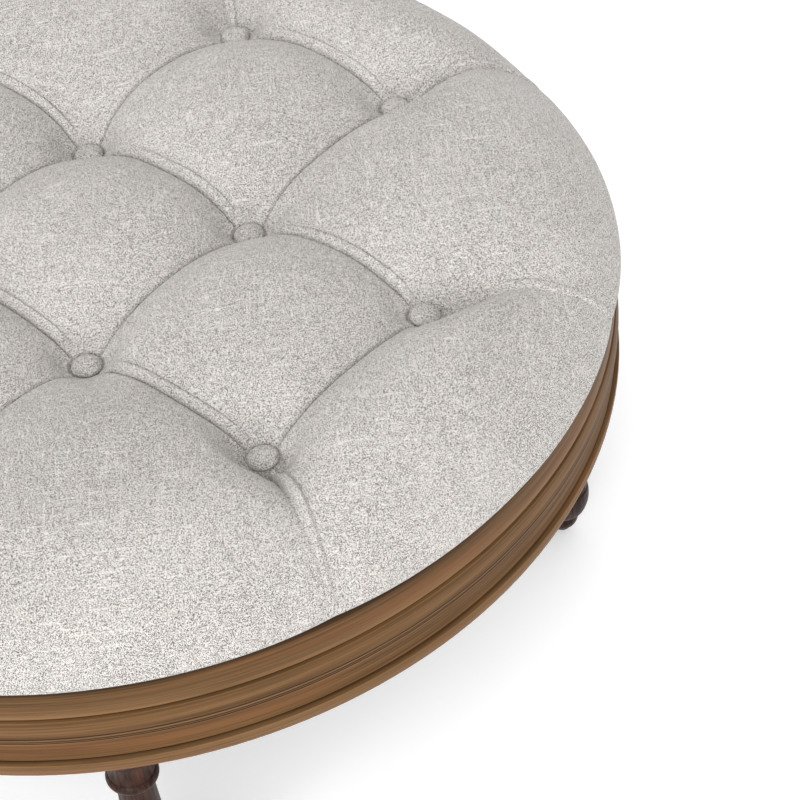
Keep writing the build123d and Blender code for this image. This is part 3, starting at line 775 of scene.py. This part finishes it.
# The turn of the weave from the rows of buttons, the scales of its threads, crossings and grain as
# multiples of the thread count per metre, then the scales of its slubs, clouds and tints, and how
# much each of them adds to the tone. The stops are the tones of the three thread colours.
CLOTH_TURN = math.radians(45)
THREAD_STRETCH = 0.7
CROSSING_SIZE = 0.9
GRAIN_SIZE = 1.15
THREAD_TONE = 0.45
GRAIN_TONE = 0.55
SLUB_LONG, SLUB_THIN = 20.0, 560.0
SLUB_SPAN = (0.58, 0.76)
SLUB_TONE = 0.085
CLOUD_SIZE = 11.0
CLOUD_TONE = 0.06
DARK_STOP, MIDDLE_STOP, UPPER_MIDDLE_STOP, LIGHT_STOP = 0.405, 0.475, 0.512, 0.566
TINT_SIZE = 55.0
WARM_TINT = (1.035, 0.99, 0.985)
COOL_TINT = (0.965, 1.0, 0.995)


def heathered_fabric(name):
    """Greige tweed: pale and dark threads both ways, with pale slubs and dark flecks."""
    look = bpy.context.scene.ottoman_fabric
    f = Finish(name)
    fine = 1 / look.thread
    turned = f.add("ShaderNodeMapping", {"Vector": f.place, "Rotation": (0, 0, CLOTH_TURN)})
    cloth = turned.outputs["Vector"]
    warp = f.streaks((fine * THREAD_STRETCH, fine, fine), 0.0, 0.5, cloth)
    weft = f.streaks((fine, fine * THREAD_STRETCH, fine), 0.0, 0.5, cloth)
    over = f.noise(cloth, fine * CROSSING_SIZE, 0.0, 0.5)
    threads = f.mix(f.span(over, 0.44, 0.56), f.grey(warp), f.grey(weft))
    grain = f.noise(f.place, fine * GRAIN_SIZE, 0.0, 0.6)
    tone = f.math("ADD", f.times(threads, THREAD_TONE), f.times(grain, GRAIN_TONE))
    slub_x = f.streaks((SLUB_LONG, SLUB_THIN, SLUB_THIN), 1.0, 0.5, cloth)
    slub_y = f.streaks((SLUB_THIN, SLUB_LONG, SLUB_THIN), 1.0, 0.5, cloth)
    slubs = f.math("ADD", f.span(slub_x, *SLUB_SPAN), f.span(slub_y, *SLUB_SPAN))
    cloud = f.math("SUBTRACT", f.noise(f.place, CLOUD_SIZE, 2.0, 0.5), 0.5)
    tone = f.math("ADD", tone, f.times(slubs, SLUB_TONE))
    tone = f.math("ADD", tone, f.times(cloud, CLOUD_TONE))
    colour = f.ramp(tone, (
        (DARK_STOP, look.dark), (MIDDLE_STOP, look.middle), (UPPER_MIDDLE_STOP, look.middle),
        (LIGHT_STOP, look.light),
    ))
    tint = f.mix(f.noise(f.place, TINT_SIZE, 3.0, 0.6), WARM_TINT, COOL_TINT)
    f.shade({
        "Base Color": f.mix(1.0, colour, tint, "MULTIPLY"), "Roughness": 0.92,
        "Specular IOR Level": 0.2, "Sheen Weight": 0.15, "Sheen Roughness": 0.5,
    })
    f.bump(tone, 0.5, 0.0009)
    return f.material


def by_height(*stops):
    """Places on the apron, in millimetres up from its bottom edge, as shares of its height."""
    rise = (APRON_HIGH.z - APRON_LOW.z) * 1000
    return tuple((height / rise, tone) for height, tone in stops)


# By height in millimetres: how clear the wood is of the dark colour, which is stain with painted
# shade in its grooves and a painted shadow under the cushion's edge at the top, and how far its
# edges and curves are lightened, partly rubbed wear and partly painted highlight.
BAND_STAIN_AND_SHADE = by_height(
    (0.0, 0.92), (15.6, 0.92), (17.2, 1.0), (17.5, 0.0), (19.1, 0.0), (19.4, 1.0), (24.0, 0.92),
    (39.0, 0.88), (40.5, 0.95), (41.0, 0.0), (42.0, 0.0), (42.6, 1.0), (43.4, 0.3), (43.9, 0.15),
    (47.2, 0.15), (48.2, 0.60), (51.0, 1.0), (51.6, 0.05), (52.7, 0.05), (53.5, 0.78), (58.0, 0.92),
    (71.0, 0.90), (72.0, 1.0), (72.6, 0.95), (72.9, 0.0), (74.5, 0.0), (74.8, 1.0), (101.5, 0.86),
    (104.2, 0.55), (106.2, 0.15), (109.0, 0.05),
)
BAND_WEAR_AND_HIGHLIGHT = by_height(
    (0.0, 0.30), (14.0, 0.35), (15.8, 0.60), (17.0, 0.0), (38.9, 0.0), (40.2, 0.60), (40.8, 0.0),
    (42.2, 0.0), (42.7, 0.80), (43.4, 0.0), (49.4, 0.0), (50.7, 0.75), (51.4, 0.0), (57.0, 0.0),
    (62.7, 0.42), (66.0, 0.10), (72.0, 0.0), (74.9, 0.25), (76.0, 0.70), (80.5, 0.35), (86.0, 0.10),
    (92.0, 0.0), (101.0, 0.0),
)

# Noise over the wood: its scale on each axis, its detail and its roughness. The apron's axes run
# along it, up it and through it, and the legs' axes are X, Y and Z.
APRON_STREAKS = ((7.0, 420.0, 1.0), 5.0, 0.62)
APRON_LONG_STREAKS = ((1.6, 150.0, 1.0), 3.0, 0.55)
APRON_PORES = ((40.0, 1500.0, 1.0), 2.0, 0.6)
APRON_PATCHES = ((3.0, 22.0, 1.0), 3.0, 0.5)
APRON_RUDDY = ((4.5, 40.0, 1.0), 2.0, 0.5)
APRON_WEAR = ((9.0, 60.0, 1.0), 4.0, 0.6)
LEG_GRAIN = ((260.0, 260.0, 12.0), 5.0, 0.6)
LEG_PATCHES = ((30.0, 30.0, 14.0), 3.0, 0.5)

# How light and dark the streaks are beside the wood's own colour, and how far each mark covers it.
APRON_DARK_STREAK, APRON_LIGHT_STREAK = 0.62, 1.32
RUBBED_SHARE = 0.38
RUDDY_SHARE = 0.45
PORE_SHARE = 0.45
GROOVE_DULLNESS = 0.4
LEG_DARK_STREAK, LEG_LIGHT_STREAK = 0.35, 1.6
LEG_PATCH_SHARE = 0.5
RUDDY_WOOD = (0.180, 0.068, 0.022)
LEG_PATCH_WOOD = (0.095, 0.034, 0.018)
WOOD_GLOSS = 0.14


def apron_wood(name):
    """Streaked, rubbed apron wood with painted shade in its grooves and painted edge highlights."""
    look = bpy.context.scene.ottoman_wood
    f = Finish(name)
    x, y, z = f.add("ShaderNodeSeparateXYZ", {0: f.place}).outputs
    length = f.times(f.math("ARCTAN2", y, x), APRON_HIGH.x)
    around = f.add("ShaderNodeCombineXYZ", {0: length, 1: z}).outputs[0]
    height = f.math("DIVIDE", f.math("SUBTRACT", z, APRON_LOW.z), APRON_HIGH.z - APRON_LOW.z)
    streak = f.streaks(*APRON_STREAKS, around)
    dark_streak = toned(look.middle, APRON_DARK_STREAK)
    light_streak = toned(look.middle, APRON_LIGHT_STREAK)
    body = f.mix(f.span(streak, 0.32, 0.70), dark_streak, light_streak)
    long_streak = f.span(f.streaks(*APRON_LONG_STREAKS, around), 0.52, 0.70)
    patches = f.span(f.streaks(*APRON_PATCHES, around), 0.38, 0.62)
    rubbed = f.times(long_streak, patches, clamp=True)
    body = f.mix(f.times(rubbed, RUBBED_SHARE), body, look.light)
    ruddy = f.span(f.streaks(*APRON_RUDDY, around), 0.52, 0.70)
    body = f.mix(f.times(ruddy, RUDDY_SHARE), body, RUDDY_WOOD)
    pores = f.streaks(*APRON_PORES, around)
    body = f.mix(f.times(f.span(pores, 0.60, 0.72), PORE_SHARE), body, look.dark)
    # Painted shade: dark bands in the grooves and a painted shadow under the cushion's edge, over
    # the wood's stain.
    tone = f.ramp(height, BAND_STAIN_AND_SHADE)
    stained_and_shaded = f.mix(tone, look.dark, body)
    # Rubbed wear on the edges, partly painted highlight where edges and band tops catch the light.
    wear = f.span(f.streaks(*APRON_WEAR, around), 0.34, 0.60, 0.35, 1.0)
    colour = f.mix(f.times(f.ramp(height, BAND_WEAR_AND_HIGHLIGHT), wear), stained_and_shaded, look.light)
    dull = f.times(f.math("SUBTRACT", 1.0, tone), GROOVE_DULLNESS)
    rough = f.math("ADD", f.span(streak, 0.3, 0.7, 0.62, 0.46), dull, clamp=True)
    f.shade({"Base Color": colour, "Roughness": rough, "Specular IOR Level": WOOD_GLOSS})
    f.bump(f.math("ADD", f.times(streak, 0.7), f.times(pores, -0.3)), 0.25, 0.0006)
    return f.material


def leg_wood(name):
    """Very dark stained wood with upright grain and a soft shine."""
    look = bpy.context.scene.ottoman_wood
    f = Finish(name)
    grain = f.streaks(*LEG_GRAIN)
    patches = f.span(f.streaks(*LEG_PATCHES), 0.5, 0.7)
    dark_streak, light_streak = toned(look.leg, LEG_DARK_STREAK), toned(look.leg, LEG_LIGHT_STREAK)
    body = f.mix(f.span(grain, 0.35, 0.68), dark_streak, light_streak)
    body = f.mix(f.times(patches, LEG_PATCH_SHARE), body, LEG_PATCH_WOOD)
    rough = f.span(grain, 0.3, 0.7, 0.50, 0.34)
    f.shade({"Base Color": body, "Roughness": rough, "Specular IOR Level": WOOD_GLOSS})
    f.bump(grain, 0.2, 0.0004)
    return f.material


def plain_wood(name, light, dark, along=(6.0, 180.0, 180.0)):
    """Unfinished wood with its grain along X."""
    f = Finish(name)
    grain = f.streaks(along, 4.0, 0.6)
    f.shade({"Base Color": f.mix(f.span(grain, 0.3, 0.7), dark, light), "Roughness": 0.75})
    f.bump(grain, 0.2, 0.0005)
    return f.material


def soft_lining(name, light, dark, scale):
    """Fibrous cloth or twine with a fine random tone."""
    f = Finish(name)
    fibre = f.noise(f.place, scale, 4.0, 0.65)
    f.shade({"Base Color": f.mix(f.span(fibre, 0.35, 0.65), dark, light), "Roughness": 0.95})
    f.bump(fibre, 0.4, 0.0006)
    return f.material


def plated_steel(name):
    """Zinc-plated steel with a faintly mottled tone."""
    f = Finish(name)
    spots = f.noise(f.place, 420.0, 3.0, 0.5)
    f.shade({
        "Base Color": f.mix(spots, (0.42, 0.42, 0.43), (0.62, 0.62, 0.64)),
        "Roughness": f.span(spots, 0.3, 0.7, 0.28, 0.45), "Metallic": 1.0,
    })
    return f.material


def glide_plastic(name):
    """Dull dark plastic with a finely pitted surface."""
    f = Finish(name)
    pits = f.noise(f.place, 900.0, 2.0, 0.5)
    tone = f.mix(pits, (0.018, 0.016, 0.015), (0.05, 0.045, 0.04))
    f.shade({"Base Color": tone, "Roughness": 0.55})
    f.bump(pits, 0.15, 0.0003)
    return f.material


def floor_paint(name):
    """A plain pale floor with barely any tone and a faint light of its own."""
    floor = bpy.context.scene.ottoman_stage.floor
    f = Finish(name)
    tone = f.noise(f.place, 2.0, 2.0, 0.5)
    f.shade({
        "Base Color": f.mix(tone, toned(floor, 0.985), floor), "Roughness": 0.9,
        "Specular IOR Level": 0.1, "Emission Color": (1, 1, 1, 1), "Emission Strength": 0.16,
    })
    return f.material


# Colours of the unfinished wood, the dust cover and the twine, and the plywood's grain scale.
PALE_TIMBER, SHADED_TIMBER = (0.60, 0.42, 0.26), (0.45, 0.29, 0.16)
PALE_PLY, SHADED_PLY = (0.62, 0.46, 0.29), (0.50, 0.35, 0.2)
PLY_GRAIN = (4.0, 60.0, 900.0)
GREY_FIBRE, BLACK_FIBRE = (0.030, 0.030, 0.031), (0.014, 0.014, 0.015)
PALE_TWINE, BROWN_TWINE = (0.66, 0.58, 0.44), (0.42, 0.35, 0.25)


class OTTOMAN_OT_finishes(Operator):
    """Give each solid of the frame and its fittings its finish"""

    bl_idname = "ottoman.finishes"
    bl_label = "Wood and fittings"

    def execute(self, context):
        finishes = {
            "apron_wood": apron_wood("stained_apron_painted_light"),
            "leg_wood": leg_wood("dark_legs"),
            "frame_wood": plain_wood("frame_timber", PALE_TIMBER, SHADED_TIMBER),
            "plywood": plain_wood("deck_plywood", PALE_PLY, SHADED_PLY, PLY_GRAIN),
            "glide_plastic": glide_plastic("glide_plastic"),
            "dust_fabric": soft_lining("dust_cloth", GREY_FIBRE, BLACK_FIBRE, 700.0),
            "twine": soft_lining("waxed_twine", PALE_TWINE, BROWN_TWINE, 1500.0),
            "steel": plated_steel("plated_steel"),
        }
        slots = {row["node"]: row["material_slot"] for row in frame["record"]["subparts"]}
        for name, node in frame["nodes"].items():
            if slots[name] in finishes:
                node.data.materials.clear()
                node.data.materials.append(finishes[slots[name]])
        return {"FINISHED"}


# Stage


# The way to the key light, how far the floor reaches, and the camera's place, axes and lens.
KEY_FROM = (0.36, -0.76, 0.55)
FLOOR_REACH = 14.0
FLOOR_CORNERS = ((-1, -1), (1, -1), (1, 1), (-1, 1))
CAMERA_PLACE = (1.41233, -1.02671, 1.89006)
CAMERA_RIGHT = (0.76295, 0.64028, -0.089156)
CAMERA_UP = (-0.401122, 0.577036, 0.711429)
CAMERA_BACK = (0.50696, -0.507022, 0.69708)
CAMERA_LENS = 107.77
SENSOR = 36.0
CAMERA_SIGHT = 60


class OTTOMAN_OT_stage(Operator):
    """Lay the floor, hang the lights and set the camera"""

    bl_idname = "ottoman.stage"
    bl_label = "Floor, lights and camera"

    def execute(self, context):
        scene = context.scene
        settings = scene.ottoman_stage
        corners = [(x * FLOOR_REACH, y * FLOOR_REACH, 0) for x, y in FLOOR_CORNERS]
        floor = mesh_object("floor", corners, [(0, 1, 2, 3)], floor_paint("floor_paint"))
        world = bpy.data.worlds.new("soft_sky")
        world.use_nodes = True
        sky = world.node_tree.nodes["Background"]
        sky.inputs["Color"].default_value = (1, 1, 1, 1)
        sky.inputs["Strength"].default_value = settings.sky
        scene.world = world
        light = bpy.data.lights.new("key_light", "SUN")
        light.energy = settings.key
        light.angle = settings.softness
        lamp = bpy.data.objects.new("key_light", light)
        lamp.rotation_euler = Vector(KEY_FROM).to_track_quat("Z", "Y").to_euler()
        scene.collection.objects.link(lamp)
        scene.view_settings.view_transform = "Standard"
        self.camera(scene)
        return {"FINISHED"}

    def camera(self, scene):
        """The camera at the photograph's place and angle."""
        data = bpy.data.cameras.new("camera")
        data.lens = CAMERA_LENS
        data.sensor_width = SENSOR
        data.clip_end = CAMERA_SIGHT
        camera = bpy.data.objects.new("camera", data)
        axes = Matrix((CAMERA_RIGHT, CAMERA_UP, CAMERA_BACK)).transposed()
        camera.matrix_world = Matrix.Translation(CAMERA_PLACE) @ axes.to_4x4()
        scene.collection.objects.link(camera)
        scene.camera = camera


class OTTOMAN_PT_panel(Panel):
    """The table's pieces and sizes in the sidebar"""

    bl_label = "Ottoman table"
    bl_idname = "OTTOMAN_PT_panel"
    bl_space_type = "VIEW_3D"
    bl_region_type = "UI"
    bl_category = "Ottoman"

    def draw(self, context):
        for title, group, operators in PANEL_ROWS:
            box = self.layout.box()
            box.label(text=title)
            settings = getattr(context.scene, group)
            for name in settings.bl_rna.properties.keys():
                if name not in ("rna_type", "name"):
                    box.prop(settings, name)
            for operator in operators:
                box.operator(operator)


PANEL_ROWS = (
    ("Cushion", "ottoman_cushion", ("ottoman.cushion",)),
    ("Buttons", "ottoman_buttons", ("ottoman.buttons",)),
    ("Fabric", "ottoman_fabric", ()),
    ("Wood", "ottoman_wood", ("ottoman.finishes",)),
    ("Stage", "ottoman_stage", ("ottoman.stage",)),
)
GROUPS = {
    "ottoman_cushion": CushionSizes,
    "ottoman_buttons": ButtonSizes,
    "ottoman_fabric": FabricLook,
    "ottoman_wood": WoodLook,
    "ottoman_stage": StageSettings,
}
CLASSES = (
    *GROUPS.values(), OTTOMAN_OT_cushion, OTTOMAN_OT_buttons, OTTOMAN_OT_finishes, OTTOMAN_OT_stage,
    OTTOMAN_PT_panel,
)


def register():
    """Register the classes and hang their settings on the scene."""
    for made in CLASSES:
        bpy.utils.register_class(made)
    for name, group in GROUPS.items():
        setattr(bpy.types.Scene, name, PointerProperty(type=group))


def unregister():
    """Take the settings off the scene and unregister the classes."""
    for name in GROUPS:
        delattr(bpy.types.Scene, name)
    for made in reversed(CLASSES):
        bpy.utils.unregister_class(made)


def main():
    """Build everything in order."""
    register()
    bpy.ops.ottoman.finishes()
    bpy.ops.ottoman.cushion()
    bpy.ops.ottoman.buttons()
    bpy.ops.ottoman.stage()


if __name__ == "__main__":
    main()
